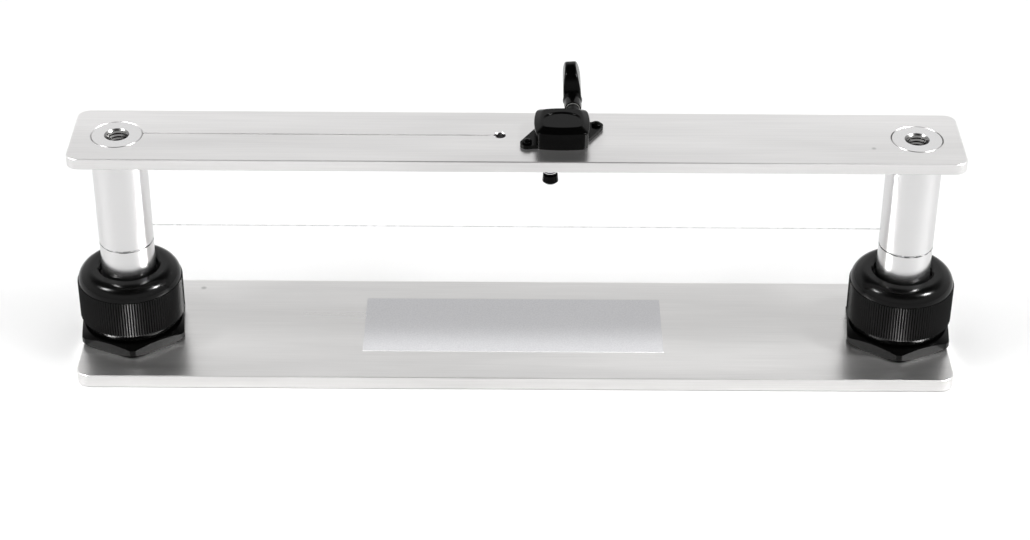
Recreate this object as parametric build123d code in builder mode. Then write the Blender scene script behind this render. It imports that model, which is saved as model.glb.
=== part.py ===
from build123d import *
from math import asin, atan2, cos, hypot, pi, radians, sin, sqrt, tan
import os

# A clay cutter: a base plate with two cable glands, a frame of one bar and two posts that slides
# in them, and a steel wire that a machine head pulls tight between the posts.
# Millimetres, +Z up, X along the plates, -Y towards the user.
# The origin is the middle of the base plate's underside.

# Overrun of every cut past the face that it opens
overrun = 1.0
quarter_turn = 90

# Base plate
base_length = 357.5
base_width = 72.0
base_thickness = 5.6
base_corner_radius = 6.0
plate_edge_round = 0.6

# Top bar
bar_end_step = 1.75
bar_width = 40.0
bar_thickness = 4.7
bar_corner_radius = 5.0

# Posts
post_inset = 19.65
post_diameter = 22.0
post_length = 81.0
post_foot_height = 12.0
post_foot_chamfer = 0.8
spigot_diameter = 20.4
spigot_fit = 0.03
spigot_edge_chamfer = 0.25
tapped_hole_radius = 4.25
tapped_hole_depth = 22.0
tapped_mouth_radius = 5.0

# Cable glands
gland_bore_gap = 1.0
gland_thread_wall = 4.0
gland_thread_fit = 0.05
gland_thread_recess = 0.4
gland_neck_wall = 3.4
gland_neck_height = 13.6
gland_hex_step = 3.0
gland_hex_height = 4.8
left_hex_angle = 6.0
right_hex_angle = -5.0
hex_corner_reach = 2.6
hex_top_inset = 0.7
hex_top_drop = 1.3
hex_foot_reach = 0.4
hex_foot_lift = 1.0
seal_seat_depth = 6.5

# Rubber seals
seal_running_fit = 0.05
seal_wall = 3.35
seal_wall_fit = 0.2
seal_height = 15.0
seal_taper_height = 3.5
seal_tip_wall = 1.0
seal_groove_depth = 0.6
seal_groove_width = 1.6
seal_groove_count = 3

# Clamping claws
claw_foot_gap = 0.1
claw_foot_step = 0.5
claw_foot_height = 2.5
claw_height = 9.5
claw_tip_gap = 0.9
claw_tip_wall = 2.3
claw_bend_share = 0.55
claw_slot_width = 1.4
claw_slot_count = 12

# Dome nuts
nut_wall = 3.42
nut_rib_depth = 0.45
nut_rib_count = 120
nut_foot_gap = 1.4
nut_skirt_height = 2.9
nut_skirt_taper = 1.2
nut_band_height = 16.0
nut_dome_height = 5.8
nut_dome_width = 5.6
nut_lip_round = 0.8
nut_thread_fit = 0.08
nut_cone_fit = 0.2
nut_hole_gap = 1.2

# Cutting wire and its grooves
wire_diameter = 0.3
wire_seat = 0.03
wire_drop = 44.0
wire_offset = 1.2
wire_groove_depth = 0.5
ring_groove_width = 0.8
post_groove_width = 1.2
bar_groove_width = 0.7
bar_groove_depth = 0.55
wire_hole_radius = 0.55
wire_hole_gap = 0.1
wire_edge_radius = 0.6
feed_hole_x = -6.8
feed_hole_radius = 2.1
feed_edge_chamfer = 0.3
feed_edge_gap = 0.2
feed_lead_in = 2.0
feed_lead_radius = 3.0
winding_turns = 5
winding_pitch = 0.75
winding_gap = 0.15

# Ball end of the wire
ball_radius = 1.9
ball_length = 2.4
ball_waist_radius = 1.2
ball_flange = 0.5
ball_depth = 1.0
ball_drop = 6.0
ball_seat_gap = 0.2
pocket_end_gap = 0.2

# Machine head: case and cover
tuner_x = 17.8
case_length = 21.8
case_depth = 21.2
case_side_bulge = 1.0
case_corner_radius = 2.6
case_height = 6.6
case_floor = 1.8
case_wall = 1.2
channel_gap = 0.3
wheel_gap = 0.15
flange_thickness = 1.6
ear_across = 13.8
ear_along = 7.1
ear_radius = 2.8
ear_root_share = 0.6
ear_root_radius = 1.5
ear_root_inset = 3.2
cover_lip = 0.15
cover_rim = 0.4
cover_crown = 1.7
cover_shoulder = 2.7
cover_crown_round = 2.0
cover_rim_round = 0.6
cover_pocket_depth = 1.15
cover_pocket_inset = 2.2
dish_length = 14.6
dish_width = 10.4
dish_depth = 0.5
dish_edge_round = 0.45
snout_radius = 2.65
snout_length = 4.6

# Machine head: worm and wheel
worm_wheel_module = 0.75
wheel_teeth = 15
worm_pitch_radius = 3.275
worm_addendum = 0.325
worm_root_gap = 0.15
worm_turns = 4
worm_height = 3.9
tooth_backlash = 0.2
worm_flank_angle = 20
tooth_tip_share = 0.34
tooth_root_share = 0.52
wheel_thickness = 3.6
wheel_lift = 0.3
worm_gap = 0.1
worm_collar_length = 1.2
worm_collar_rise = 0.05
front_journal_radius = 1.8
front_journal_length = 1.4
back_journal_radius = 2.0
journal_fit = 0.05

# Machine head: string post, bushing and washers
string_post_x = 13.5
post_shaft_radius = 3.0
string_post_reach = 15.8
end_cap_radius = 3.2
end_cap_height = 3.6
end_cap_round = 0.7
end_cap_waist = 0.25
waist_radius = 2.4
waist_height = 5.8
collar_band_height = 2.4
string_hole_radius = 0.75
string_hole_lift = 1.2
wheel_seat_radius = 2.5
wheel_seat_fit = 0.02
wheel_seat_drop = 0.1
gear_screw_radius = 1.25
gear_screw_head_radius = 2.2
gear_screw_head_height = 1.2
gear_screw_length = 3.0
gear_screw_fit = 0.05
bushing_radius = 4.0
bushing_fit = 0.05
bushing_flats = 10.0
bushing_hex_height = 3.1
bushing_chamfer = 0.4
bushing_bar_gap = 0.2
bushing_end_gap = 0.1
bushing_washer_radius = 6.8
bushing_washer_thickness = 0.8

# Machine head: button
button_tilt_angle = 4.3
shaft_washer_thickness = 0.6
shaft_washer_radius = 2.9
shaft_end_radius = 1.9
button_fit = 0.02
button_gap = 0.1
hub_radius = 3.3
hub_flare = 1.8
hub_length = 7.5
blade_length = 18.4
blade_height = 23.8
blade_thickness = 7.2
blade_edge_thickness = 4.1
blade_edge_round = 0.9
button_screw_radius = 1.0
button_screw_head_radius = 2.4
button_screw_head_height = 1.3
button_screw_length = 5.0
button_screw_fit = 0.05
button_screw_recess = 1.6
button_grip = 20.0

# Small screws of the ears
ear_screw_radius = 1.25
ear_screw_fit = 0.05
ear_screw_head_radius = 1.9
ear_screw_head_height = 1.3
ear_screw_length = 5.6
screw_dome_share = 0.45
screw_slot_width = 0.5
screw_slot_depth = 0.5

# Heights and places that follow from the sizes
bar_length = base_length - 2 * bar_end_step
post_x = base_length / 2 - post_inset
post_radius = post_diameter / 2
spigot_radius = spigot_diameter / 2
bar_bottom = post_foot_height + post_length
bar_top = bar_bottom + bar_thickness
wire_height = bar_bottom - wire_drop
wire_radius = wire_diameter / 2
groove_floor_radius = post_radius - wire_groove_depth
wrap_radius = groove_floor_radius + wire_radius + wire_seat
gland_bore_radius = post_radius + gland_bore_gap
gland_thread_radius = gland_bore_radius + gland_thread_wall
seal_bore_radius = post_radius + seal_running_fit
seal_radius = seal_bore_radius + seal_wall
seal_seat_radius = seal_radius + seal_wall_fit
gland_neck_radius = seal_seat_radius + gland_neck_wall
hex_radius = gland_neck_radius + gland_hex_step
claw_foot_radius = gland_neck_radius - claw_foot_step
nut_rib_radius = gland_neck_radius + nut_thread_fit + nut_wall
hex_top = base_thickness + gland_hex_height
neck_top = hex_top + gland_neck_height
seat_bottom = neck_top - seal_seat_depth
tuner_ends = case_length / 2
tuner_sides = case_depth / 2
case_top = bar_top + case_height
crown_foot = case_top + cover_rim
cover_top = crown_foot + cover_crown
worm_z = bar_top + worm_height
worm_x = string_post_x + worm_wheel_module * wheel_teeth / 2 + worm_pitch_radius
worm_radius = worm_pitch_radius + worm_addendum
wheel_pitch_radius = worm_wheel_module * wheel_teeth / 2
wheel_radius = wheel_pitch_radius + worm_addendum
wheel_root_radius = wheel_pitch_radius - worm_addendum - worm_root_gap
worm_root_radius = worm_pitch_radius - worm_addendum - worm_root_gap
worm_pitch = pi * worm_wheel_module
wheel_bottom = bar_top + case_floor + wheel_lift
snout_end = tuner_sides + snout_length
button_base = snout_end + shaft_washer_thickness + button_gap
bushing_hex_bottom = bar_bottom - bushing_washer_thickness - bushing_hex_height
string_post_bottom = bar_bottom - string_post_reach
waist_bottom = string_post_bottom + end_cap_height
waist_top = waist_bottom + waist_height
collar_band_top = waist_top + collar_band_height
winding_radius = waist_radius + winding_gap + wire_radius
ball_z = bar_bottom - ball_drop

pieces = {}


def upright(x, y=0, z=0):
    """A vertical drawing plane whose own axes are the part's X and Z."""
    return Plane(origin=(x, y, z), x_dir=(1, 0, 0), z_dir=(0, -1, 0))


def level(x, y, z):
    """A horizontal drawing plane at a point."""
    return Plane(origin=(x, y, z), x_dir=(1, 0, 0), z_dir=(0, 0, 1))


def standing_axis(x, y=0):
    return Axis((x, y, 0), (0, 0, 1))


# Base plate
with BuildPart() as base_plate:
    with BuildSketch():
        RectangleRounded(base_length, base_width, base_corner_radius)
    extrude(amount=base_thickness)
    fillet(base_plate.faces().filter_by(Axis.Z).edges(), plate_edge_round)
    with BuildSketch(level(0, 0, base_thickness)):
        with Locations((-post_x, 0), (post_x, 0)):
            Circle(gland_thread_radius + gland_thread_fit)
    extrude(amount=-base_thickness, mode=Mode.SUBTRACT)
pieces["base_plate"] = base_plate

# Glands, one at each end of the base plate
nut_bottom = hex_top + nut_foot_gap
nut_root_radius = nut_rib_radius - nut_rib_depth
band_top = nut_bottom + nut_skirt_height + nut_band_height
nut_top = band_top + nut_dome_height
nut_hole_radius = post_radius + nut_hole_gap
claw_bottom = neck_top + claw_foot_gap
claw_top = claw_bottom + claw_height
claw_bend = claw_bottom + claw_height * claw_bend_share
claw_tip_radius = post_radius + claw_tip_gap
cone_low = claw_bottom + claw_foot_height
cone_top_radius = claw_tip_radius + claw_tip_wall
seal_top = seat_bottom + seal_height


def ring_of(x, outline):
    """A turned ring about a post's axis, from (radius, height) points."""
    with BuildPart() as ring:
        with BuildSketch(upright(x)):
            with BuildLine():
                Polyline(*outline, close=True)
            make_face()
        revolve(axis=standing_axis(x))
    return ring


for side, x, hex_angle in (("left", -post_x, left_hex_angle), ("right", post_x, right_hex_angle)):
    # Body: hexagon with turned corners, thread in the plate, threaded neck and seat for the seal
    with BuildPart() as gland_body:
        with BuildSketch(level(x, 0, base_thickness)):
            RegularPolygon(hex_radius, 6, major_radius=False, rotation=quarter_turn + hex_angle)
        extrude(amount=gland_hex_height)
        with BuildSketch(upright(x, 0, base_thickness)):
            with BuildLine():
                Polyline(
                    (0, 0),
                    (hex_radius + hex_foot_reach, 0),
                    (hex_radius + hex_corner_reach, hex_foot_lift),
                    (hex_radius + hex_corner_reach, gland_hex_height - hex_top_drop),
                    (hex_radius - hex_top_inset, gland_hex_height),
                    (0, gland_hex_height),
                    close=True,
                )
            make_face()
        revolve(axis=standing_axis(x), mode=Mode.INTERSECT)
        with BuildSketch(level(x, 0, gland_thread_recess)):
            Circle(gland_thread_radius)
        extrude(amount=base_thickness - gland_thread_recess)
        with BuildSketch(level(x, 0, hex_top)):
            Circle(gland_neck_radius)
        extrude(amount=gland_neck_height)
        with BuildSketch(level(x, 0, gland_thread_recess)):
            Circle(gland_bore_radius)
        extrude(amount=neck_top, mode=Mode.SUBTRACT)
        with BuildSketch(level(x, 0, seat_bottom)):
            Circle(seal_seat_radius)
        extrude(amount=seal_seat_depth + overrun, mode=Mode.SUBTRACT)
    pieces[f"{side}_gland_body"] = gland_body

    # Seal: a rubber sleeve with grip grooves in its bore and a tapered top
    seal_outline = [(seal_bore_radius, seat_bottom), (seal_radius, seat_bottom)]
    seal_outline += [(seal_radius, seal_top - seal_taper_height)]
    seal_outline += [(seal_bore_radius + seal_tip_wall, seal_top), (seal_bore_radius, seal_top)]
    groove_step = (seal_height - seal_taper_height) / (seal_groove_count + 1)
    for groove in range(seal_groove_count, 0, -1):
        middle = seat_bottom + groove * groove_step
        for height, radius in (
            (middle + seal_groove_width / 2, seal_bore_radius),
            (middle, seal_bore_radius + seal_groove_depth),
            (middle - seal_groove_width / 2, seal_bore_radius),
        ):
            seal_outline.append((radius, height))
    pieces[f"{side}_gland_seal"] = ring_of(x, seal_outline)

    # Claw: a foot ring with fingers that lean in on the seal
    claw_outline = [
        (seal_seat_radius, claw_bottom),
        (claw_foot_radius, claw_bottom),
        (claw_foot_radius, cone_low),
        (cone_top_radius, claw_top),
        (claw_tip_radius, claw_top),
        (seal_seat_radius, claw_bend),
    ]
    with BuildPart() as clamp_claw:
        with BuildSketch(upright(x)):
            with BuildLine():
                Polyline(*claw_outline, close=True)
            make_face()
        revolve(axis=standing_axis(x))
        with BuildSketch(level(x, 0, cone_low)):
            with PolarLocations(seal_seat_radius, claw_slot_count):
                Rectangle(2 * (claw_foot_radius - claw_tip_radius), claw_slot_width)
        extrude(amount=claw_height, mode=Mode.SUBTRACT)
    pieces[f"{side}_clamp_claw"] = clamp_claw

    # Nut: threaded skirt, ribbed band, domed shoulder and an inner cone over the claw
    thread_bore = gland_neck_radius + nut_thread_fit
    cone_foot_radius = claw_foot_radius + nut_cone_fit
    with BuildPart() as gland_nut:
        with BuildSketch(upright(x)):
            with BuildLine():
                Polyline(
                    (thread_bore, nut_bottom),
                    (nut_root_radius - nut_skirt_taper, nut_bottom),
                    (nut_root_radius, nut_bottom + nut_skirt_height),
                    (nut_root_radius, band_top),
                )
                EllipticalCenterArc(
                    (nut_root_radius - nut_dome_width, band_top),
                    nut_dome_width,
                    nut_dome_height,
                    arc_size=quarter_turn,
                )
                Polyline(
                    (nut_root_radius - nut_dome_width, nut_top),
                    (nut_hole_radius + nut_lip_round, nut_top),
                    (nut_hole_radius, nut_top - nut_lip_round),
                    (nut_hole_radius, claw_top + nut_cone_fit),
                    (cone_top_radius + nut_cone_fit, claw_top + nut_cone_fit),
                    (cone_foot_radius, cone_low + nut_cone_fit),
                    (thread_bore, cone_low),
                    (thread_bore, nut_bottom),
                )
            make_face()
        revolve(axis=standing_axis(x))
        rib_low = nut_bottom + nut_skirt_height
        rib_points = []
        for rib in range(nut_rib_count):
            for radius, turn in ((nut_root_radius, rib), (nut_rib_radius, rib + 1 / 2)):
                angle = 2 * pi * turn / nut_rib_count
                rib_points.append((radius * cos(angle), radius * sin(angle)))
        with BuildSketch(level(x, 0, rib_low)):
            with BuildLine():
                Polyline(*rib_points, close=True)
            make_face()
            Circle((thread_bore + nut_root_radius) / 2, mode=Mode.SUBTRACT)
        extrude(amount=nut_band_height)
    pieces[f"{side}_gland_nut"] = gland_nut

# Top bar: spigot holes, wire groove, feed hole and the holes for the machine head
ear_places = [(tuner_x - ear_across, -ear_along), (tuner_x + ear_across, ear_along)]
wire_hole_x = groove_floor_radius + wire_hole_radius - wire_hole_gap - wire_seat
with BuildPart() as top_bar:
    with BuildSketch(level(0, 0, bar_bottom)):
        RectangleRounded(bar_length, bar_width, bar_corner_radius)
    extrude(amount=bar_thickness)
    fillet(top_bar.faces().filter_by(Axis.Z).edges(), plate_edge_round)
    with BuildSketch(level(0, 0, bar_top)):
        with Locations((-post_x, 0), (post_x, 0)):
            Circle(spigot_radius + spigot_fit)
        with Locations((string_post_x, 0)):
            Circle(bushing_radius + bushing_bar_gap)
        with Locations(*ear_places):
            Circle(ear_screw_radius + ear_screw_fit)
        with Locations((feed_hole_x, wire_offset)):
            Circle(feed_hole_radius)
        with Locations((wire_hole_x - post_x, wire_offset)):
            Circle(wire_hole_radius)
    extrude(amount=-bar_thickness, mode=Mode.SUBTRACT)
    with BuildSketch(level(0, 0, bar_top)):
        with Locations(((wire_hole_x - post_x + feed_hole_x) / 2, wire_offset)):
            Rectangle(feed_hole_x + post_x - wire_hole_x, bar_groove_width)
    extrude(amount=-bar_groove_depth, mode=Mode.SUBTRACT)
    for x, y, radius, bevel in (
        (-post_x, 0, spigot_radius + spigot_fit, spigot_edge_chamfer),
        (post_x, 0, spigot_radius + spigot_fit, spigot_edge_chamfer),
        (feed_hole_x, wire_offset, feed_hole_radius, feed_edge_chamfer),
    ):
        with BuildSketch(upright(x, y, bar_top)):
            with BuildLine():
                Polyline((0, -bevel), (radius, -bevel), (radius + bevel, 0), (0, 0), close=True)
            make_face()
        revolve(axis=standing_axis(x, y), mode=Mode.SUBTRACT)
pieces["top_bar"] = top_bar

# Posts: turned with a spigot, a ring groove for the wire and a tapped hole in the top
ball_place = wrap_radius - ball_depth / 2
for side, x, inward in (("left", -post_x, 1), ("right", post_x, -1)):
    with BuildPart() as post:
        with BuildSketch(upright(x)):
            with BuildLine():
                Polyline(
                    (0, post_foot_height),
                    (post_radius - post_foot_chamfer, post_foot_height),
                    (post_radius, post_foot_height + post_foot_chamfer),
                    (post_radius, wire_height - ring_groove_width / 2),
                    (groove_floor_radius, wire_height - ring_groove_width / 2),
                    (groove_floor_radius, wire_height + ring_groove_width / 2),
                    (post_radius, wire_height + ring_groove_width / 2),
                    (post_radius, bar_bottom),
                    (spigot_radius, bar_bottom),
                    (spigot_radius, bar_top - spigot_edge_chamfer),
                    (spigot_radius - spigot_edge_chamfer, bar_top),
                    (tapped_mouth_radius, bar_top),
                    (tapped_hole_radius, bar_top - tapped_mouth_radius + tapped_hole_radius),
                    (tapped_hole_radius, bar_top - tapped_hole_depth),
                    (0, bar_top - tapped_hole_depth - tapped_hole_radius * tan(pi / 6)),
                    close=True,
                )
            make_face()
        revolve(axis=standing_axis(x))
        groove_depth = wire_groove_depth + overrun
        groove_x = x + inward * (groove_floor_radius + groove_depth / 2)
        with BuildSketch(level(groove_x, wire_offset, wire_height)):
            Rectangle(groove_depth, post_groove_width)
        extrude(amount=wire_drop, mode=Mode.SUBTRACT)
        if side == "right":
            pocket_floor = x - ball_place + ball_length / 2 + pocket_end_gap
            with BuildSketch(Plane(origin=(pocket_floor, wire_offset, ball_z), z_dir=(-1, 0, 0))):
                Circle(ball_radius + ball_seat_gap)
            extrude(amount=ball_length + overrun, mode=Mode.SUBTRACT)
    pieces[f"{side}_post"] = post

# Cutting wire: from the ball end down the right post, round both posts at the cutting height,
# up the left post, along the bar's groove, through the feed hole and round the string post


def biarc(start, start_direction, end, end_direction):
    """Two arcs from one point and direction to another, tangent where they meet."""
    chord = end - start
    both = start_direction + end_direction
    along = chord.dot(both)
    turn = 2 * (1 - start_direction.dot(end_direction))
    reach = (sqrt(along * along + turn * chord.dot(chord)) - along) / turn
    middle = (start + end + (start_direction - end_direction) * reach) / 2
    first = Edge.make_tangent_arc(start, start_direction, middle)
    second = Edge.make_tangent_arc(middle, first.tangent_at(1), end)
    return [first, second]


def round_post(x, start_angle, turns):
    """Arcs of a quarter turn round a post at the wire's height, anticlockwise."""
    arcs = []
    for quarter in range(turns):
        points = []
        for step in (0, 1 / 2, 1):
            angle = start_angle + pi / 2 * (quarter + step)
            points.append((x + wrap_radius * cos(angle), wrap_radius * sin(angle), wire_height))
        arcs.append(Edge.make_three_point_arc(*points))
    return arcs


def bend(centre, start, end):
    """A quarter bend about a centre, from the start direction to the end direction."""
    middle = centre + (start + end) * (1 / sqrt(2))
    return Edge.make_three_point_arc(centre + start, middle, centre + end)


right_run_x = post_x - wrap_radius
left_run_x = wrap_radius - post_x
bar_run_z = bar_top - bar_groove_depth + wire_radius + wire_seat
up = Vector(0, 0, wire_offset)
back = Vector(0, wire_offset, 0)
right_bend = Vector(right_run_x, 0, wire_height + wire_offset)
left_bend = Vector(left_run_x, 0, wire_height + wire_offset)
edge_up = Vector(0, 0, wire_edge_radius)
edge_left = Vector(-wire_edge_radius, 0, 0)
bar_bend = Vector(left_run_x + wire_edge_radius, wire_offset, bar_run_z - wire_edge_radius)

# Where the wire leaves the feed hole and meets the string post's waist at a tangent
hole_in = Vector(feed_hole_x - feed_hole_radius + feed_edge_gap, wire_offset, bar_run_z)
hole_out_x = feed_hole_x + feed_hole_radius - feed_edge_gap
hole_out = Vector(hole_out_x, wire_offset, bar_bottom - feed_edge_gap)
winding_top = waist_top - (waist_height - winding_turns * winding_pitch) / 2
across = string_post_x - hole_out_x
heading = asin(winding_radius / hypot(across, wire_offset)) - atan2(wire_offset, across)
touch_x = string_post_x - winding_radius * sin(heading)
touch = Vector(touch_x, winding_radius * cos(heading), winding_top)
level_in = Vector(cos(heading), sin(heading), 0)
lead = touch - level_in * feed_lead_in

with BuildLine() as lead_route:
    FilletPolyline(
        bar_bend + edge_up,
        hole_in,
        hole_out,
        lead,
        touch,
        radius=[wire_edge_radius, wire_edge_radius, feed_lead_radius],
    )

# The winding goes round clockwise and down, in quarter turns of two arcs each
winding = []
point, direction = touch, level_in
drop = winding_pitch / 4
for quarter in range(1, 4 * winding_turns + 1):
    angle = heading + pi / 2 - quarter * pi / 2
    flat = Vector(cos(angle), sin(angle), 0) * winding_radius
    next_point = Vector(string_post_x, 0, winding_top - quarter * drop) + flat
    slope = drop / hypot(winding_radius * pi / 2, drop)
    round_part = Vector(sin(angle), -cos(angle), 0) * sqrt(1 - slope * slope)
    next_direction = round_part - Vector(0, 0, slope)
    winding += biarc(point, direction, next_point, next_direction)
    point, direction = next_point, next_direction
tail = Edge.make_line(point, point + direction * wire_diameter)

ball_bottom = Vector(right_run_x, wire_offset, ball_z - ball_waist_radius - wire_seat)
route = [Edge.make_line(ball_bottom, right_bend + back), bend(right_bend, back, up * -1)]
route += round_post(post_x, pi, 3)
back_right = (post_x, wrap_radius, wire_height)
back_left = (-post_x, wrap_radius, wire_height)
route += [Edge.make_line(back_right, back_left)]
route += round_post(-post_x, pi / 2, 3)
route += [bend(left_bend, up * -1, back)]
route += [Edge.make_line(left_bend + back, bar_bend + edge_left), bend(bar_bend, edge_left, edge_up)]
route += list(lead_route.edges())
route += winding + [tail]
wire_route = Wire(route)

with BuildPart() as cutting_wire:
    with BuildSketch(Plane(origin=ball_bottom, z_dir=(0, 0, -1))):
        Circle(wire_radius)
    sweep(path=wire_route)
pieces["cutting_wire"] = cutting_wire
wire_volume = pi * wire_radius**2 * wire_route.length
print("wire length", round(wire_route.length, 1), "volume ratio", cutting_wire.part.volume / wire_volume)
winding_points = [arc.position_at(step / 8) for arc in winding for step in range(8)]
half_turn = len(winding_points) // (2 * winding_turns)
gaps = []
for place, here in enumerate(winding_points):
    gaps += [(there - here).length - wire_diameter for there in winding_points[place + half_turn :]]
print("winding's least gap to itself", round(min(gaps), 2))

# Ball end: a brass barrel with a waist
with BuildPart() as string_ball:
    barrel = Plane(origin=(post_x - ball_place, wire_offset, ball_z), x_dir=(1, 0, 0), z_dir=(0, -1, 0))
    half = ball_length / 2
    with BuildSketch(barrel):
        with BuildLine():
            Polyline(
                (-half, 0),
                (-half, ball_radius),
                (ball_flange - half, ball_radius),
                (ball_flange - half, ball_waist_radius),
                (half - ball_flange, ball_waist_radius),
                (half - ball_flange, ball_radius),
                (half, ball_radius),
                (half, 0),
                close=True,
            )
        make_face()
    revolve(axis=Axis((post_x, wire_offset, ball_z), (1, 0, 0)))
pieces["string_ball"] = string_ball

# Machine head's case: a die-cast box with two ears, a snout and pockets for the worm and wheel
worm_half = worm_pitch * worm_turns / 2
collars_half = worm_half + worm_collar_length
channel_half = collars_half + worm_gap
channel_radius = worm_radius + channel_gap


def case_outline(lip):
    """The case's plan, a rounded square with bulged sides, grown by a lip."""
    half_x = tuner_ends + lip
    half_y = tuner_sides + lip
    corner_x = half_x - case_side_bulge
    corner_y = half_y - case_side_bulge
    with BuildSketch() as outline:
        with BuildLine():
            ThreePointArc((-corner_x, -corner_y), (0, -half_y), (corner_x, -corner_y))
            ThreePointArc((corner_x, -corner_y), (half_x, 0), (corner_x, corner_y))
            ThreePointArc((corner_x, corner_y), (0, half_y), (-corner_x, corner_y))
            ThreePointArc((-corner_x, corner_y), (-half_x, 0), (-corner_x, -corner_y))
        make_face()
        fillet(outline.vertices(), case_corner_radius)
    return outline.sketch


def across_worm(y):
    """An upright drawing plane across the worm's axis that looks towards +Y."""
    return Plane(origin=(worm_x, y, worm_z), x_dir=(-1, 0, 0), z_dir=(0, 1, 0))


with BuildPart() as tuner_housing:
    with BuildSketch(level(tuner_x, 0, bar_top)):
        add(case_outline(0))
    extrude(amount=case_height)
    for ear_side in (-1, 1):
        root_x = ear_side * (tuner_ends - ear_root_inset)
        with BuildSketch(level(tuner_x, 0, bar_top)):
            with Locations((ear_side * ear_across, ear_side * ear_along)):
                Circle(ear_radius)
            with Locations(
                (root_x, ear_side * (tuner_sides - ear_root_inset)),
                (root_x, -ear_side * tuner_sides * ear_root_share),
            ):
                Circle(ear_root_radius)
            make_hull()
        extrude(amount=flange_thickness)
    with BuildSketch(across_worm(tuner_sides - case_wall)):
        Circle(snout_radius)
    extrude(amount=case_wall + snout_length)
    with BuildSketch(level(string_post_x, 0, bar_top + case_floor)):
        Circle(wheel_radius + wheel_gap)
    extrude(amount=case_height, mode=Mode.SUBTRACT)
    with BuildSketch(level(worm_x, 0, bar_top)):
        Rectangle(2 * channel_radius, 2 * channel_half)
    extrude(amount=case_height, mode=Mode.SUBTRACT)
    with BuildSketch(across_worm(-channel_half - front_journal_length)):
        Circle(front_journal_radius + journal_fit)
    extrude(amount=front_journal_length + overrun, mode=Mode.SUBTRACT)
    with BuildSketch(across_worm(0)):
        Circle(back_journal_radius + journal_fit)
    extrude(amount=snout_end + overrun, mode=Mode.SUBTRACT)
    with BuildSketch(level(0, 0, bar_top)):
        with Locations((string_post_x, 0)):
            Circle(bushing_radius + bushing_fit)
        with Locations(*ear_places):
            Circle(ear_screw_radius + ear_screw_fit)
    extrude(amount=case_floor, mode=Mode.SUBTRACT)
pieces["tuner_housing"] = tuner_housing

# Cover: a crowned cap with a lip all round, hollow beneath, with a shallow oval dish in its top
with BuildPart() as tuner_cover:
    with BuildSketch(level(tuner_x, 0, case_top)):
        add(case_outline(cover_lip))
    extrude(amount=cover_rim)
    with BuildSketch(level(tuner_x, 0, crown_foot)):
        add(case_outline(cover_lip))
    with BuildSketch(level(tuner_x, 0, cover_top)):
        add(case_outline(cover_lip - cover_shoulder))
    loft(ruled=True)
    fillet(tuner_cover.edges().group_by(Axis.Z)[-1], cover_crown_round)
    rim_edges = [edge for edge in tuner_cover.edges() if abs(edge.center().Z - crown_foot) < cover_lip / 2]
    fillet(rim_edges, cover_rim_round)
    with BuildSketch(level(tuner_x, 0, cover_top)):
        Ellipse(dish_length / 2, dish_width / 2)
    extrude(amount=-dish_depth, mode=Mode.SUBTRACT)
    dish_floor = tuner_cover.faces().filter_by(Axis.Z).sort_by(Axis.Z)[-2]
    fillet(dish_floor.edges(), dish_edge_round)
    with BuildSketch(level(tuner_x, 0, case_top)):
        RectangleRounded(
            case_length - 2 * cover_pocket_inset, case_depth - 2 * cover_pocket_inset, case_corner_radius
        )
    extrude(amount=cover_pocket_depth, mode=Mode.SUBTRACT)
pieces["tuner_cover"] = tuner_cover

# Ear screws: pan heads with a cross slot
head_seat = bar_top + flange_thickness
head_rim = ear_screw_head_height * (1 - screw_dome_share)
with BuildPart() as tuner_screws:
    for x, y in ear_places:
        with BuildSketch(upright(x, y, head_seat)):
            with BuildLine():
                Polyline(
                    (0, ear_screw_head_height),
                    (0, -ear_screw_length),
                    (ear_screw_radius, -ear_screw_length),
                    (ear_screw_radius, 0),
                    (ear_screw_head_radius, 0),
                    (ear_screw_head_radius, head_rim),
                )
                EllipticalCenterArc(
                    (0, head_rim),
                    ear_screw_head_radius,
                    ear_screw_head_height - head_rim,
                    arc_size=quarter_turn,
                )
            make_face()
        revolve(axis=standing_axis(x, y))
        with BuildSketch(level(x, y, head_seat + ear_screw_head_height)):
            with PolarLocations(0, 2, start_angle=45, angular_range=180):
                Rectangle(ear_screw_head_radius, screw_slot_width)
        extrude(amount=-screw_slot_depth, mode=Mode.SUBTRACT)
pieces["tuner_screws"] = tuner_screws

# Worm: a right-hand thread between two collars, with journals and a long end for the button
shaft_end = button_base + button_grip
flank = worm_addendum * tan(radians(worm_flank_angle))
root_flank = (worm_addendum + worm_root_gap) * tan(radians(worm_flank_angle))
thread_half = worm_pitch / 4 - tooth_backlash / 4
thread_sink = worm_root_radius / 10
with BuildPart() as tuner_worm:
    for start, end, radius in (
        (-collars_half - front_journal_length, collars_half, front_journal_radius),
        (-worm_half, worm_half, worm_root_radius),
        (-collars_half, -worm_half, worm_radius + worm_collar_rise),
        (worm_half, collars_half, worm_radius + worm_collar_rise),
        (collars_half, button_base, back_journal_radius),
        (button_base, shaft_end, shaft_end_radius),
    ):
        with BuildSketch(across_worm(start)):
            Circle(radius)
        extrude(amount=end - start)
    with BuildLine():
        thread_foot = Vector(worm_x, -worm_half, worm_z)
        thread_line = Helix(worm_pitch, 2 * worm_half, worm_pitch_radius, thread_foot, (0, 1, 0))
    thread_plane = Plane(thread_line @ 0, x_dir=(thread_line @ 0) - thread_foot, z_dir=thread_line % 0)
    sink_flank = root_flank + thread_sink * tan(radians(worm_flank_angle))
    with BuildSketch(thread_plane):
        with BuildLine():
            Polyline(
                (-worm_addendum - worm_root_gap - thread_sink, -thread_half - sink_flank),
                (worm_addendum, flank - thread_half),
                (worm_addendum, thread_half - flank),
                (-worm_addendum - worm_root_gap - thread_sink, thread_half + sink_flank),
                close=True,
            )
        make_face()
    sweep(path=thread_line, is_frenet=True)
    with BuildSketch(across_worm(shaft_end)):
        Circle(button_screw_radius)
    extrude(amount=-button_screw_length, mode=Mode.SUBTRACT)
pieces["tuner_worm"] = tuner_worm

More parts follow.
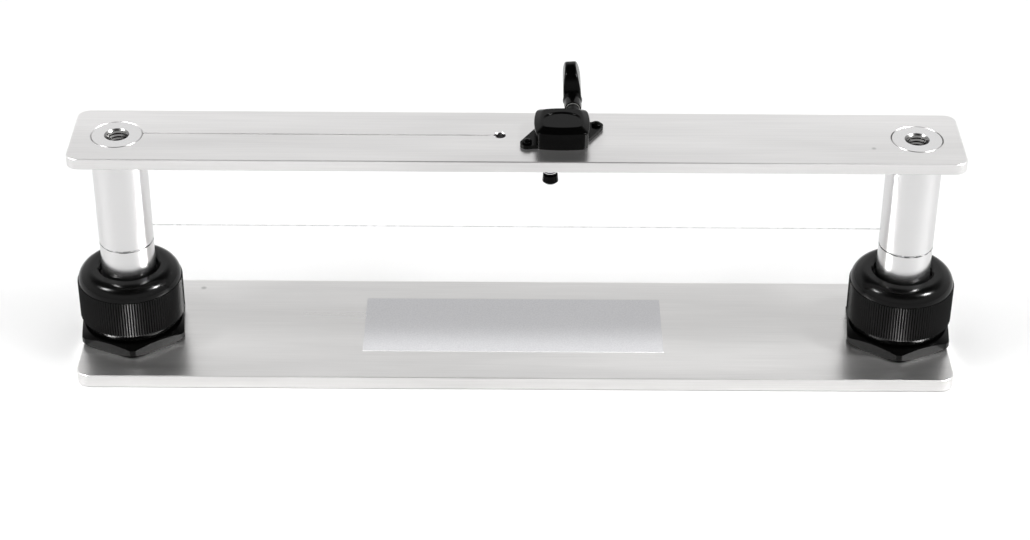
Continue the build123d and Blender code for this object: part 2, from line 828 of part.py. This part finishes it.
# Wheel: straight-flanked teeth twisted to the worm's lead, a quarter of a pitch off the worm's
# middle, where the thread passes on the wheel's side
tooth_angle = 2 * pi / wheel_teeth
wheel_lead = worm_pitch / (2 * pi * worm_pitch_radius) / wheel_pitch_radius
with BuildPart() as tuner_gear:
    for height in (0, wheel_thickness):
        twist = (height + wheel_bottom - worm_z) * wheel_lead
        wheel_points = []
        for tooth in range(wheel_teeth):
            middle = (tooth + 1 / 4) * tooth_angle + twist
            for radius, share in (
                (wheel_root_radius, -tooth_root_share),
                (wheel_radius, -tooth_tip_share),
                (wheel_radius, tooth_tip_share),
                (wheel_root_radius, tooth_root_share),
            ):
                angle = middle + share * tooth_angle / 2
                wheel_points.append((radius * cos(angle), radius * sin(angle)))
        with BuildSketch(level(string_post_x, 0, wheel_bottom + height)):
            with BuildLine():
                Polyline(*wheel_points, close=True)
            make_face()
    loft(ruled=True)
    with BuildSketch(level(string_post_x, 0, wheel_bottom)):
        Circle(wheel_seat_radius + wheel_seat_fit)
    extrude(amount=wheel_thickness, mode=Mode.SUBTRACT)
pieces["tuner_gear"] = tuner_gear

# String post: end cap, waist for the winding with the string hole, collar, shaft and wheel seat
wheel_top = wheel_bottom + wheel_thickness
seat_top = wheel_top - wheel_seat_drop
shoulder = wheel_bottom - wheel_seat_drop
with BuildPart() as string_post:
    with BuildSketch(upright(string_post_x)):
        with BuildLine():
            Polyline(
                (0, string_post_bottom),
                (end_cap_radius - end_cap_round, string_post_bottom),
                (end_cap_radius, string_post_bottom + end_cap_round),
                (end_cap_radius - end_cap_waist, waist_bottom),
                (waist_radius, waist_bottom),
                (waist_radius, waist_top),
                (end_cap_radius, waist_top),
                (end_cap_radius, collar_band_top),
                (post_shaft_radius, collar_band_top),
                (post_shaft_radius, shoulder),
                (wheel_seat_radius, shoulder),
                (wheel_seat_radius, seat_top),
                (gear_screw_radius + gear_screw_fit, seat_top),
                (gear_screw_radius + gear_screw_fit, wheel_top - gear_screw_length - gear_screw_fit),
                (0, wheel_top - gear_screw_length - gear_screw_fit),
                close=True,
            )
        make_face()
    revolve(axis=standing_axis(string_post_x))
    with BuildSketch(upright(string_post_x, waist_radius, waist_bottom + string_hole_lift)):
        Circle(string_hole_radius)
    extrude(amount=2 * waist_radius, mode=Mode.SUBTRACT)
pieces["string_post"] = string_post

# Screw that holds the wheel on the string post
with BuildPart() as gear_screw:
    with BuildSketch(level(string_post_x, 0, wheel_top)):
        Circle(gear_screw_head_radius)
    extrude(amount=gear_screw_head_height)
    with BuildSketch(level(string_post_x, 0, wheel_top)):
        Circle(gear_screw_radius)
    extrude(amount=-gear_screw_length)
    with BuildSketch(level(string_post_x, 0, wheel_top + gear_screw_head_height)):
        Rectangle(2 * gear_screw_head_radius, screw_slot_width)
    extrude(amount=-screw_slot_depth, mode=Mode.SUBTRACT)
pieces["gear_screw"] = gear_screw

# Bushing: hexagon under the bar, shank up through the bar into the case
washer_bottom = bar_bottom - bushing_washer_thickness
bushing_top = bar_top + case_floor - bushing_end_gap
bushing_corner = bushing_flats / 2 / cos(pi / 6)
with BuildPart() as tuner_bushing:
    with BuildSketch(level(string_post_x, 0, bushing_hex_bottom)):
        RegularPolygon(bushing_flats / 2, 6, major_radius=False)
    extrude(amount=bushing_hex_height)
    with BuildSketch(upright(string_post_x, 0, bushing_hex_bottom)):
        with BuildLine():
            Polyline(
                (0, 0),
                (bushing_flats / 2 - bushing_chamfer, 0),
                (bushing_corner, bushing_chamfer),
                (bushing_corner, bushing_hex_height),
                (0, bushing_hex_height),
                close=True,
            )
        make_face()
    revolve(axis=standing_axis(string_post_x), mode=Mode.INTERSECT)
    with BuildSketch(level(string_post_x, 0, washer_bottom)):
        Circle(bushing_radius)
    extrude(amount=bushing_top - washer_bottom)
    with BuildSketch(level(string_post_x, 0, bushing_hex_bottom)):
        Circle(post_shaft_radius + bushing_fit)
    extrude(amount=bushing_top - bushing_hex_bottom, mode=Mode.SUBTRACT)
pieces["tuner_bushing"] = tuner_bushing

with BuildPart() as bushing_washer:
    with BuildSketch(level(string_post_x, 0, washer_bottom)):
        Circle(bushing_washer_radius)
        Circle(bushing_radius + bushing_bar_gap, mode=Mode.SUBTRACT)
    extrude(amount=bushing_washer_thickness)
pieces["bushing_washer"] = bushing_washer

# Washer between the case's snout and the button
with BuildPart() as shaft_washer:
    with BuildSketch(across_worm(snout_end)):
        Circle(shaft_washer_radius)
        Circle(back_journal_radius + journal_fit, mode=Mode.SUBTRACT)
    extrude(amount=shaft_washer_thickness)
pieces["shaft_washer"] = shaft_washer

# Button: a flared hub and an oval blade, thinner towards its rim, tilted as it was last turned
tilt = radians(button_tilt_angle)
blade_y = button_base + hub_length + blade_length / 2
blade_end = blade_y + blade_length / 2
screw_seat = blade_end - button_screw_recess
tilted_x = (cos(tilt), 0, sin(tilt))
blade_sag = (blade_thickness - blade_edge_thickness) / 2
blade_face_radius = ((blade_height / 2) ** 2 + blade_sag**2) / (2 * blade_sag)
with BuildPart() as tuner_button:
    blade_side = Plane(origin=(worm_x, blade_y, worm_z), x_dir=(0, 1, 0), z_dir=tilted_x)
    with BuildSketch(blade_side):
        Ellipse(blade_length / 2, blade_height / 2)
    extrude(amount=blade_thickness / 2, both=True)
    with BuildSketch(Plane(origin=(worm_x, blade_y, worm_z), x_dir=tilted_x, z_dir=(0, -1, 0))):
        with Locations((blade_thickness / 2 - blade_face_radius, 0)):
            Circle(blade_face_radius)
        with Locations((blade_face_radius - blade_thickness / 2, 0)):
            Circle(blade_face_radius, mode=Mode.INTERSECT)
    extrude(amount=blade_length, both=True, mode=Mode.INTERSECT)
    fillet(tuner_button.edges().filter_by(GeomType.LINE, reverse=True), blade_edge_round)
    with BuildSketch(Plane(origin=(worm_x, button_base, worm_z), x_dir=(1, 0, 0), z_dir=(0, 0, 1))):
        with BuildLine():
            Polyline(
                (0, 0),
                (hub_radius, 0),
                (hub_radius, hub_length - hub_flare),
                (hub_radius + hub_flare / 3, hub_length),
                (hub_radius, hub_length + hub_flare),
                (0, hub_length + hub_flare),
                close=True,
            )
        make_face()
    revolve(axis=Axis((worm_x, 0, worm_z), (0, 1, 0)))
    for start, end, radius in (
        (button_base, shaft_end + button_gap, shaft_end_radius + button_fit),
        (shaft_end, screw_seat, button_screw_radius + button_screw_fit),
        (screw_seat, blade_end, button_screw_head_radius + button_gap),
    ):
        with BuildSketch(across_worm(start)):
            Circle(radius)
        extrude(amount=end - start, mode=Mode.SUBTRACT)
pieces["tuner_button"] = tuner_button

with BuildPart() as button_screw:
    with BuildSketch(across_worm(screw_seat)):
        Circle(button_screw_head_radius)
    extrude(amount=button_screw_head_height)
    with BuildSketch(across_worm(screw_seat)):
        Circle(button_screw_radius)
    extrude(amount=shaft_end - button_screw_length + button_gap - screw_seat)
    with BuildSketch(across_worm(screw_seat + button_screw_head_height)):
        Rectangle(2 * button_screw_head_radius, screw_slot_width)
    extrude(amount=-screw_slot_depth, mode=Mode.SUBTRACT)
pieces["button_screw"] = button_screw

os.makedirs("parts", exist_ok=True)
for name, piece in pieces.items():
    piece.part.label = name
    export_step(piece.part, f"parts/{name}.step")
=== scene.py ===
from functools import partial
from math import cos, pi, sin

import bmesh
import bpy
from mathutils import Matrix, Vector


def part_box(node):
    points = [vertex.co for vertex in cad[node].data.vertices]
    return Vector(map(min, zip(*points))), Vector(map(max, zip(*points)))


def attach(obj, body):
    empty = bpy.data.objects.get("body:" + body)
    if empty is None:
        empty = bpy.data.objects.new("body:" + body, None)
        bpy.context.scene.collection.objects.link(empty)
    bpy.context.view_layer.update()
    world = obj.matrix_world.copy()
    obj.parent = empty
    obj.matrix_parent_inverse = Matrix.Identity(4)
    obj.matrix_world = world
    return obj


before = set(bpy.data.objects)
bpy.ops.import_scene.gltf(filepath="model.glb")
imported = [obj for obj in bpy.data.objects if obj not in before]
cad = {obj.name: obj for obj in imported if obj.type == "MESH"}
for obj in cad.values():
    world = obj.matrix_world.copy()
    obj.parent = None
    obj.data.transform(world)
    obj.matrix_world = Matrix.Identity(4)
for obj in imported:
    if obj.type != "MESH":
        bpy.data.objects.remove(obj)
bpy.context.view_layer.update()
scene = bpy.context.scene
scene.view_settings.view_transform = "Standard"

# Camera: a long lens, 2.4 image widths from the sensor, about one metre away and 33 degrees above
# the bench, in line with the middle of the cutter. Its roll is under half a degree.
camera_place = Vector((-0.002096, -0.838262, 0.576749))
camera_turn, camera_fall, camera_roll = 0.002, 0.574, 0.007
picture_width, lens_pixels = 1030, 2425.539
sensor_width = 36
nearest_seen = 0.05
ahead = Vector(
    (sin(camera_turn) * cos(camera_fall), cos(camera_turn) * cos(camera_fall), -sin(camera_fall))
)
right = Vector((cos(camera_turn), -sin(camera_turn), 0))
up = right.cross(ahead)
tilted_right = right * cos(camera_roll) + up * sin(camera_roll)
tilted_up = up * cos(camera_roll) - right * sin(camera_roll)
camera_axes = Matrix((tilted_right, tilted_up, -ahead)).transposed().to_4x4()
lens = bpy.data.cameras.new("camera")
lens.sensor_width = sensor_width
lens.lens = lens_pixels * sensor_width / picture_width
lens.clip_start = nearest_seen
camera = bpy.data.objects.new("camera", lens)
camera.matrix_world = Matrix.Translation(camera_place) @ camera_axes
scene.collection.objects.link(camera)
scene.camera = camera

# Bench and light: a white sweep under a tent that is white low down and darker overhead, with a
# softbox high on each side, whose spots show on the black domes. The camera sees bench and tent as
# plain white, while the cutter is lit by their light tones and mirrors the tent's greys.
white = (1, 1, 1)
tent_light, bench_light = (0.84, 0.84, 0.84), (0.82, 0.82, 0.82)
# Each pair is a height, from 0 at the horizon to 1 overhead, and the tent's grey there.
tent_greys = (
    (0.0, 0.78),
    (0.2, 0.86),
    (0.36, 0.97),
    (0.45, 0.98),
    (0.56, 0.9),
    (0.66, 0.3),
    (0.76, 0.05),
    (1.0, 0.01),
)
# The bench lies a hair below the base plate, so that their faces don't share a place.
bench_half, bench_gap = 3, 0.00002
softbox_aim = (0, 0, 0.05)
softbox_size, softbox_power = 0.5, 5
gloss_size = 0.22


def add_node(material, kind, **settings):
    """Adds a node to the tree of a material or of the world."""
    node = material.node_tree.nodes.new(kind)
    for name, value in settings.items():
        setattr(node, name, value)
    return node


def feed(material, source, socket):
    """Gives a socket another node's output, a colour or a number."""
    if isinstance(source, bpy.types.NodeSocket):
        material.node_tree.links.new(source, socket)
    elif isinstance(source, tuple):
        socket.default_value = (*source, 1)
    else:
        socket.default_value = source


def combined(material, operation, *sources):
    """The result of a math operation on other nodes' outputs or numbers."""
    node = add_node(material, "ShaderNodeMath", operation=operation)
    for source, socket in zip(sources, node.inputs):
        feed(material, source, socket)
    return node.outputs[0]


def mixed(material, factor, first, second):
    """Goes from the first colour to the second as the factor rises."""
    mix = add_node(material, "ShaderNodeMix", data_type="RGBA")
    feed(material, factor, mix.inputs["Factor"])
    feed(material, first, mix.inputs["A"])
    feed(material, second, mix.inputs["B"])
    return mix.outputs["Result"]


def grey_band(material, source, stops):
    """A band of greys along a 0 to 1 value, from (place, grey) pairs."""
    node = add_node(material, "ShaderNodeValToRGB")
    band = node.color_ramp
    for place, _ in stops[len(band.elements):]:
        band.elements.new(place)
    for element, (place, grey) in zip(band.elements, stops):
        element.position = place
        element.color = (grey, grey, grey, 1)
    feed(material, source, node.inputs["Fac"])
    return node.outputs["Color"]


def new_material(name, metallic=0.0):
    """A material and its shader."""
    material = bpy.data.materials.new(name)
    material.use_nodes = True
    shader = material.node_tree.nodes["Principled BSDF"]
    shader.inputs["Metallic"].default_value = metallic
    return material, shader


tent = bpy.data.worlds.new("tent")
tent.use_nodes = True
scene.world = tent
tent_direction = add_node(tent, "ShaderNodeTexCoord")
tent_height = add_node(tent, "ShaderNodeSeparateXYZ")
feed(tent, tent_direction.outputs["Generated"], tent_height.inputs["Vector"])
tent_shade = grey_band(tent, tent_height.outputs["Z"], tent_greys)
tent_path = add_node(tent, "ShaderNodeLightPath")
tent_mirrored = combined(
    tent, "MAXIMUM", tent_path.outputs["Is Glossy Ray"], tent_path.outputs["Is Transmission Ray"]
)
tent_colour = mixed(tent, tent_mirrored, tent_light, tent_shade)
tent_seen = mixed(tent, tent_path.outputs["Is Camera Ray"], tent_colour, white)
feed(tent, tent_seen, tent.node_tree.nodes["Background"].inputs["Color"])

bench_form = bmesh.new()
bmesh.ops.create_grid(bench_form, x_segments=1, y_segments=1, size=bench_half)
bmesh.ops.translate(bench_form, vec=(0, 0, -bench_gap), verts=bench_form.verts)
bench_mesh = bpy.data.meshes.new("bench")
bench_form.to_mesh(bench_mesh)
bench_form.free()
bench = bpy.data.objects.new("bench", bench_mesh)
bench_white, bench_shader = new_material("bench_white")
bench_shader.inputs["Roughness"].default_value = 0.6
bench_path = add_node(bench_white, "ShaderNodeLightPath")
bench_tone = mixed(bench_white, bench_path.outputs["Is Camera Ray"], bench_light, white)
feed(bench_white, bench_tone, bench_shader.inputs["Base Color"])
bench_mesh.materials.append(bench_white)
scene.collection.objects.link(bench)


def lamp(name, place, size, power, mirrored_only):
    """A square lamp aimed at the cutter, which either lights it or only shows in its gloss."""
    light = bpy.data.lights.new(name, "AREA")
    light.size = size
    light.energy = power
    holder = bpy.data.objects.new(name, light)
    turn = (Vector(place) - Vector(softbox_aim)).to_track_quat("Z", "Y")
    holder.matrix_world = Matrix.Translation(place) @ turn.to_matrix().to_4x4()
    holder.visible_diffuse = not mirrored_only
    holder.visible_glossy = mirrored_only
    scene.collection.objects.link(holder)


for side, softbox_place, gloss_power in (
    ("left", (-1.1, -0.2, 1.4), 46),
    ("right", (1.15, -0.25, 1.4), 80),
):
    lamp(f"{side}_softbox", softbox_place, softbox_size, softbox_power, mirrored_only=False)
    lamp(f"{side}_softbox_gloss", softbox_place, gloss_size, gloss_power, mirrored_only=True)

# Base plate: bright aluminium flat bar, sawn, with rounded corners and edges, and linished along
# its length so that the grain runs along X. It carries a faint smudge behind the left gland.
black = (0.0, 0.0, 0.0)
base_tone = (0.99, 0.98, 0.97)
smudge_x, smudge_y = -0.1335, 0.0295


def streaks(material, scale, detail=2.0, seed=0.0):
    """Noise on the piece's own coordinates, stretched by a scale for each axis."""
    place = add_node(material, "ShaderNodeTexCoord")
    mapping = add_node(material, "ShaderNodeMapping")
    mapping.inputs["Scale"].default_value = scale
    mapping.inputs["Location"].default_value = (seed, seed, seed)
    noise = add_node(material, "ShaderNodeTexNoise")
    noise.inputs["Scale"].default_value = 1.0
    noise.inputs["Detail"].default_value = detail
    feed(material, place.outputs["Object"], mapping.inputs["Vector"])
    feed(material, mapping.outputs["Vector"], noise.inputs["Vector"])
    return noise.outputs["Fac"]


def spread(material, source, low, high, low_in=0.3, high_in=0.7):
    """Maps a pattern to a range of values. Most of a noise lies between 0.3 and 0.7."""
    map_range = add_node(material, "ShaderNodeMapRange")
    map_range.inputs["From Min"].default_value = low_in
    map_range.inputs["From Max"].default_value = high_in
    map_range.inputs["To Min"].default_value = low
    map_range.inputs["To Max"].default_value = high
    feed(material, source, map_range.inputs["Value"])
    return map_range.outputs["Result"]


def relief(material, shader, source, depth, strength):
    """A small bump from a pattern, its depth in metres."""
    bump = add_node(material, "ShaderNodeBump")
    bump.inputs["Distance"].default_value = depth
    bump.inputs["Strength"].default_value = strength
    feed(material, source, bump.inputs["Height"])
    feed(material, bump.outputs["Normal"], shader.inputs["Normal"])


def linished_aluminium(name, seed):
    """Bright metal with its grain along X, given back with its shader and pattern of light."""
    material, shader = new_material(name, metallic=1.0)
    grain = streaks(material, scale=(25, 2500, 2500), detail=3.0, seed=seed)
    clouds = streaks(material, scale=(7, 45, 45), detail=3.0, seed=seed)
    grain_light = spread(material, grain, low=0.93, high=1.0)
    cloud_light = spread(material, clouds, low=0.84, high=1.0)
    feed(material, spread(material, clouds, low=0.27, high=0.33), shader.inputs["Roughness"])
    relief(material, shader, grain, depth=0.00001, strength=0.5)
    return material, shader, combined(material, "MULTIPLY", grain_light, cloud_light)


def object_axes(material):
    """The piece's own X, Y and Z."""
    place = add_node(material, "ShaderNodeTexCoord")
    axes = add_node(material, "ShaderNodeSeparateXYZ")
    feed(material, place.outputs["Object"], axes.inputs["Vector"])
    return axes.outputs


def distance_from(material, x, y, centre_x, centre_y):
    """The distance of a point from an upright axis."""
    off_x = combined(material, "SUBTRACT", x, centre_x)
    off_y = combined(material, "SUBTRACT", y, centre_y)
    square_x = combined(material, "MULTIPLY", off_x, off_x)
    square_y = combined(material, "MULTIPLY", off_y, off_y)
    return combined(material, "SQRT", combined(material, "ADD", square_x, square_y))


def spot(material, axes, centre_x, centre_y, radius, shade):
    """A soft round mark that is 0 outside and reaches its shade in the middle."""
    away = distance_from(material, axes["X"], axes["Y"], centre_x, centre_y)
    return spread(material, away, shade, 0.0, radius / 3, radius)


def darkened(material, shader, light, shade, tone):
    """Colours a plate with its tone and pattern of light, less the shade of its dark places."""
    left = combined(material, "SUBTRACT", 1.0, shade)
    colour = mixed(material, combined(material, "MULTIPLY", light, left), black, tone)
    feed(material, colour, shader.inputs["Base Color"])


def finish_node(node, material):
    """Gives a CAD node its material."""
    cad[node].data.materials.clear()
    cad[node].data.materials.append(material)


base_aluminium, base_shader, base_light = linished_aluminium("base_aluminium", seed=3.0)
base_axes = object_axes(base_aluminium)
smudge = spot(base_aluminium, base_axes, smudge_x, smudge_y, radius=0.0015, shade=0.34)
darkened(base_aluminium, base_shader, base_light, smudge, base_tone)
finish_node("base_plate", base_aluminium)

# Label: a thin plate of silvery film with rounded corners, stuck on the middle of the base plate
# and left bare.
label_left, label_right, label_front, label_back = -0.063, 0.061, -0.017, 0.022
label_thickness = 0.00015
label_corner = 0.0006
film_dark, film_light = (0.75, 0.75, 0.77), (0.84, 0.84, 0.855)
base_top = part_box("base_plate")[1][2]
label_form = bmesh.new()
bmesh.ops.create_grid(label_form, x_segments=1, y_segments=1, size=0.5)
bmesh.ops.scale(
    label_form,
    vec=(label_right - label_left, label_back - label_front, 1),
    verts=label_form.verts,
)
bmesh.ops.translate(
    label_form,
    vec=((label_left + label_right) / 2, (label_front + label_back) / 2, base_top),
    verts=label_form.verts,
)
bmesh.ops.bevel(
    label_form,
    geom=label_form.verts[:],
    affect="VERTICES",
    offset=label_corner,
    segments=3,
    profile=0.5,
    material=-1,
)
label_top = bmesh.ops.extrude_face_region(label_form, geom=label_form.faces[:])
bmesh.ops.translate(
    label_form,
    vec=(0, 0, label_thickness),
    verts=[item for item in label_top["geom"] if isinstance(item, bmesh.types.BMVert)],
)
bmesh.ops.recalc_face_normals(label_form, faces=label_form.faces)


def two_tone(material, shader, factor, dark, light):
    """Colours a material between two tones by a pattern."""
    feed(material, mixed(material, factor, dark, light), shader.inputs["Base Color"])


def finished_piece(name, form, material, body):
    """Makes an object of a bmesh, with its material and body."""
    mesh = bpy.data.meshes.new(name)
    form.to_mesh(mesh)
    form.free()
    mesh.materials.append(material)
    piece = bpy.data.objects.new(name, mesh)
    scene.collection.objects.link(piece)
    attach(piece, body)


label_film, film_shader = new_material("label_film", metallic=0.75)
film_grain = streaks(label_film, scale=(1600, 1600, 1600))
film_tone = spread(label_film, film_grain, low=0.0, high=1.0)
two_tone(label_film, film_shader, film_tone, film_dark, film_light)
film_roughness = spread(label_film, film_grain, low=0.38, high=0.5)
feed(label_film, film_roughness, film_shader.inputs["Roughness"])
finished_piece("label_plate", label_form, label_film, "base")

# Glands: moulded cable glands of M32 size, screwed into the base plate. Each has a black nylon body
# with a hexagon and a threaded neck, a rubber sleeve that grips the post, and round the sleeve a
# slotted nylon claw ring, which the ribbed dome nut squeezes.


def grained_material(name, fineness, dark, light, roughness, metallic=0.0, specular=0.5, depth=0.0):
    """A material with a fine even grain in its tone, and in its roughness and relief where given."""
    material, shader = new_material(name, metallic)
    shader.inputs["Specular IOR Level"].default_value = specular
    grain = streaks(material, scale=(fineness, fineness, fineness))
    two_tone(material, shader, grain, dark, light)
    if isinstance(roughness, tuple):
        roughness = spread(material, grain, *roughness)
    feed(material, roughness, shader.inputs["Roughness"])
    if depth:
        relief(material, shader, grain, depth, strength=0.3)
    return material


black_nylon = grained_material(
    "black_nylon",
    fineness=700,
    dark=(0.0015, 0.0015, 0.0015),
    light=(0.0026, 0.0026, 0.0025),
    roughness=(0.14, 0.17),
    specular=0.16,
    depth=0.000002,
)
seal_rubber = grained_material(
    "seal_rubber",
    fineness=1500,
    dark=(0.009, 0.009, 0.009),
    light=(0.015, 0.015, 0.015),
    roughness=(0.5, 0.7),
)
for side in ("left", "right"):
    for piece in ("gland_body", "gland_nut", "clamp_claw"):
        finish_node(f"{side}_{piece}", black_nylon)
    finish_node(f"{side}_gland_seal", seal_rubber)

# Posts: turned aluminium bar, gripped by the glands, with a tapped hole in the top of each spigot.
# The metal is dull, with painted shade in the hole and on the spigot's rim, and painted dark dashes
# of shade in the ring scored at the wire's height.
# The dark tone is painted shade, for the hole, the spigot's rim and the scored ring.
post_tone, painted_shade_tone = (0.78, 0.775, 0.775), (0.03, 0.028, 0.024)
hole_radius, hole_edge, hole_shade = 0.00502, 0.00003, 0.72
rim_radius, rim_height, rim_shade = 0.0099, 0.0004, 0.5
score_height, score_half, score_shade = 0.049, 0.00045, 0.9
post_low, post_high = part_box("left_post")
post_x = -(post_low[0] + post_high[0]) / 2
turned_aluminium, turned_shader = new_material("turned_aluminium", metallic=1.0)
turned_rings = streaks(turned_aluminium, scale=(20, 20, 4000))
turned_roughness = spread(turned_aluminium, turned_rings, low=0.19, high=0.25)
feed(turned_aluminium, turned_roughness, turned_shader.inputs["Roughness"])
on_posts = partial(combined, turned_aluminium)
post_axes = object_axes(turned_aluminium)
either_post = on_posts("ABSOLUTE", post_axes["X"])
post_radius = distance_from(turned_aluminium, either_post, post_axes["Y"], post_x, 0)
in_hole = on_posts(
    "MULTIPLY",
    on_posts("LESS_THAN", post_radius, hole_radius),
    on_posts("LESS_THAN", post_axes["Z"], post_high[2] - hole_edge),
)
on_rim = on_posts(
    "MULTIPLY",
    on_posts("GREATER_THAN", post_radius, rim_radius),
    on_posts("GREATER_THAN", post_axes["Z"], post_high[2] - rim_height),
)
above_score = on_posts("SUBTRACT", post_axes["Z"], score_height)
in_score = on_posts("LESS_THAN", on_posts("ABSOLUTE", above_score), score_half)
# Painted shade: dark dashes in the groove of the scored ring.
score_noise = streaks(turned_aluminium, scale=(330, 330, 900), detail=3.0, seed=5.0)
painted_score_dashes = spread(turned_aluminium, score_noise, low=0.0, high=1.0, low_in=0.46, high_in=0.52)
# Painted shade in the tapped hole and on the spigot's rim.
painted_spigot_shade = on_posts(
    "MAXIMUM",
    on_posts("MULTIPLY", in_hole, hole_shade),
    on_posts("MULTIPLY", on_rim, rim_shade),
)
painted_score_shade = on_posts("MULTIPLY", on_posts("MULTIPLY", in_score, painted_score_dashes), score_shade)
two_tone(turned_aluminium, turned_shader, on_posts("MAXIMUM", painted_spigot_shade, painted_score_shade), post_tone, painted_shade_tone)

# The thread in each tapped hole is a tapered ridge, spun down the wall with its back inside it.
thread_pitch, thread_turns, turn_steps = 0.0015, 11, 28
thread_mouth = 0.0011
thread_crest, thread_root, thread_back = 0.0039, 0.00428, 0.0045
crest_half, root_half = thread_pitch / 16, thread_pitch / 2
thread_outline = (
    (thread_root, -root_half),
    (thread_crest, -crest_half),
    (thread_crest, crest_half),
    (thread_root, root_half),
    (thread_back, root_half),
    (thread_back, -root_half),
)
for side in ("left", "right"):
    finish_node(f"{side}_post", turned_aluminium)
    low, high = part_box(f"{side}_post")
    hole_axis = Vector(((low[0] + high[0]) / 2, (low[1] + high[1]) / 2, high[2] - thread_mouth))
    thread_form = bmesh.new()
    corners = [
        thread_form.verts.new(hole_axis + Vector((radius, 0, height)))
        for radius, height in thread_outline
    ]
    edges = [thread_form.edges.new((corners[i - 1], corners[i])) for i in range(len(corners))]
    thread_form.faces.new(corners)
    turned = bmesh.ops.spin(
        thread_form,
        geom=corners + edges,
        cent=hole_axis,
        axis=(0, 0, 1),
        dvec=(0, 0, -thread_pitch / turn_steps),
        angle=2 * pi * thread_turns,
        steps=turn_steps * thread_turns,
        use_merge=False,
        use_duplicate=False,
    )
    last_edges = [item for item in turned["geom_last"] if isinstance(item, bmesh.types.BMEdge)]
    bmesh.ops.contextual_create(thread_form, geom=last_edges)
    bmesh.ops.recalc_face_normals(thread_form, faces=thread_form.faces)
    finished_piece(f"{side}_post_thread", thread_form, turned_aluminium, "frame")

# Top bar: linished aluminium flat bar like the base plate, which lies on the posts' shoulders with
# their spigots in its holes. The feed hole's wall and the hairline gap round each spigot carry
# painted shade, and a small dent near the right end is dark.
bar_tone = (0.93, 0.92, 0.915)
feed_x, feed_y = -0.0068, 0.0012
feed_radius, feed_edge, feed_shade = 0.0025, 0.00004, 0.85
gap_radius, gap_half = 0.0103, 0.0002
dent_x, dent_y = 0.141, -0.0075
bar_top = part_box("top_bar")[1][2]
bar_aluminium, bar_shader, bar_light = linished_aluminium("bar_aluminium", seed=11.0)
on_bar = partial(combined, bar_aluminium)
bar_axes = object_axes(bar_aluminium)
feed_distance = distance_from(bar_aluminium, bar_axes["X"], bar_axes["Y"], feed_x, feed_y)
in_feed = on_bar(
    "MULTIPLY",
    on_bar("LESS_THAN", feed_distance, feed_radius),
    on_bar("LESS_THAN", bar_axes["Z"], bar_top - feed_edge),
)
either_spigot = on_bar("ABSOLUTE", bar_axes["X"])
spigot_distance = distance_from(bar_aluminium, either_spigot, bar_axes["Y"], post_x, 0)
off_gap = on_bar("SUBTRACT", spigot_distance, gap_radius)
in_gap = on_bar("LESS_THAN", on_bar("ABSOLUTE", off_gap), gap_half)
gap_noise = streaks(bar_aluminium, scale=(110, 110, 110), seed=23.0)
gap_shade = spread(bar_aluminium, gap_noise, low=0.25, high=0.85, low_in=0.42, high_in=0.58)
# Painted shade in the feed hole and in the hairline gap round each spigot.
hole_shades = on_bar(
    "MAXIMUM",
    on_bar("MULTIPLY", in_feed, feed_shade),
    on_bar("MULTIPLY", in_gap, gap_shade),
)
dent = spot(bar_aluminium, bar_axes, dent_x, dent_y, radius=0.0012, shade=0.3)
darkened(bar_aluminium, bar_shader, bar_light, on_bar("MAXIMUM", hole_shades, dent), bar_tone)
finish_node("top_bar", bar_aluminium)

# Machine head: a guitar tuner, die-cast and plated gloss black, with a steel worm and a brass wheel
# inside and a plain plastic washer at the button. Its bushing clamps it to the bar from below, and
# a screw through each ear keeps it from turning.
black_plating = grained_material(
    "black_plating",
    fineness=900,
    dark=(0.0008, 0.0008, 0.0008),
    light=(0.0014, 0.0014, 0.0013),
    roughness=(0.15, 0.2),
    specular=0.07,
)
bright_steel = grained_material(
    "bright_steel",
    fineness=300,
    dark=(0.88, 0.88, 0.89),
    light=(0.96, 0.96, 0.97),
    roughness=(0.2, 0.32),
    metallic=1.0,
)
turned_brass = grained_material(
    "turned_brass",
    fineness=500,
    dark=(0.72, 0.53, 0.23),
    light=(0.82, 0.62, 0.29),
    roughness=0.3,
    metallic=1.0,
)
washer_plastic = grained_material(
    "washer_plastic",
    fineness=900,
    dark=(0.14, 0.14, 0.135),
    light=(0.19, 0.19, 0.18),
    roughness=0.4,
)
for piece in (
    "tuner_housing",
    "tuner_cover",
    "tuner_screws",
    "tuner_bushing",
    "bushing_washer",
    "tuner_button",
    "button_screw",
    "string_post",
    "gear_screw",
):
    finish_node(piece, black_plating)
finish_node("tuner_worm", bright_steel)
finish_node("tuner_gear", turned_brass)
finish_node("shaft_washer", washer_plastic)

# Wire: plain steel music wire with a brass ball end in a pocket of the right post, strung round
# both posts at the cutting height and wound on the machine head's string post.
finish_node("cutting_wire", bright_steel)
finish_node("string_ball", turned_brass)
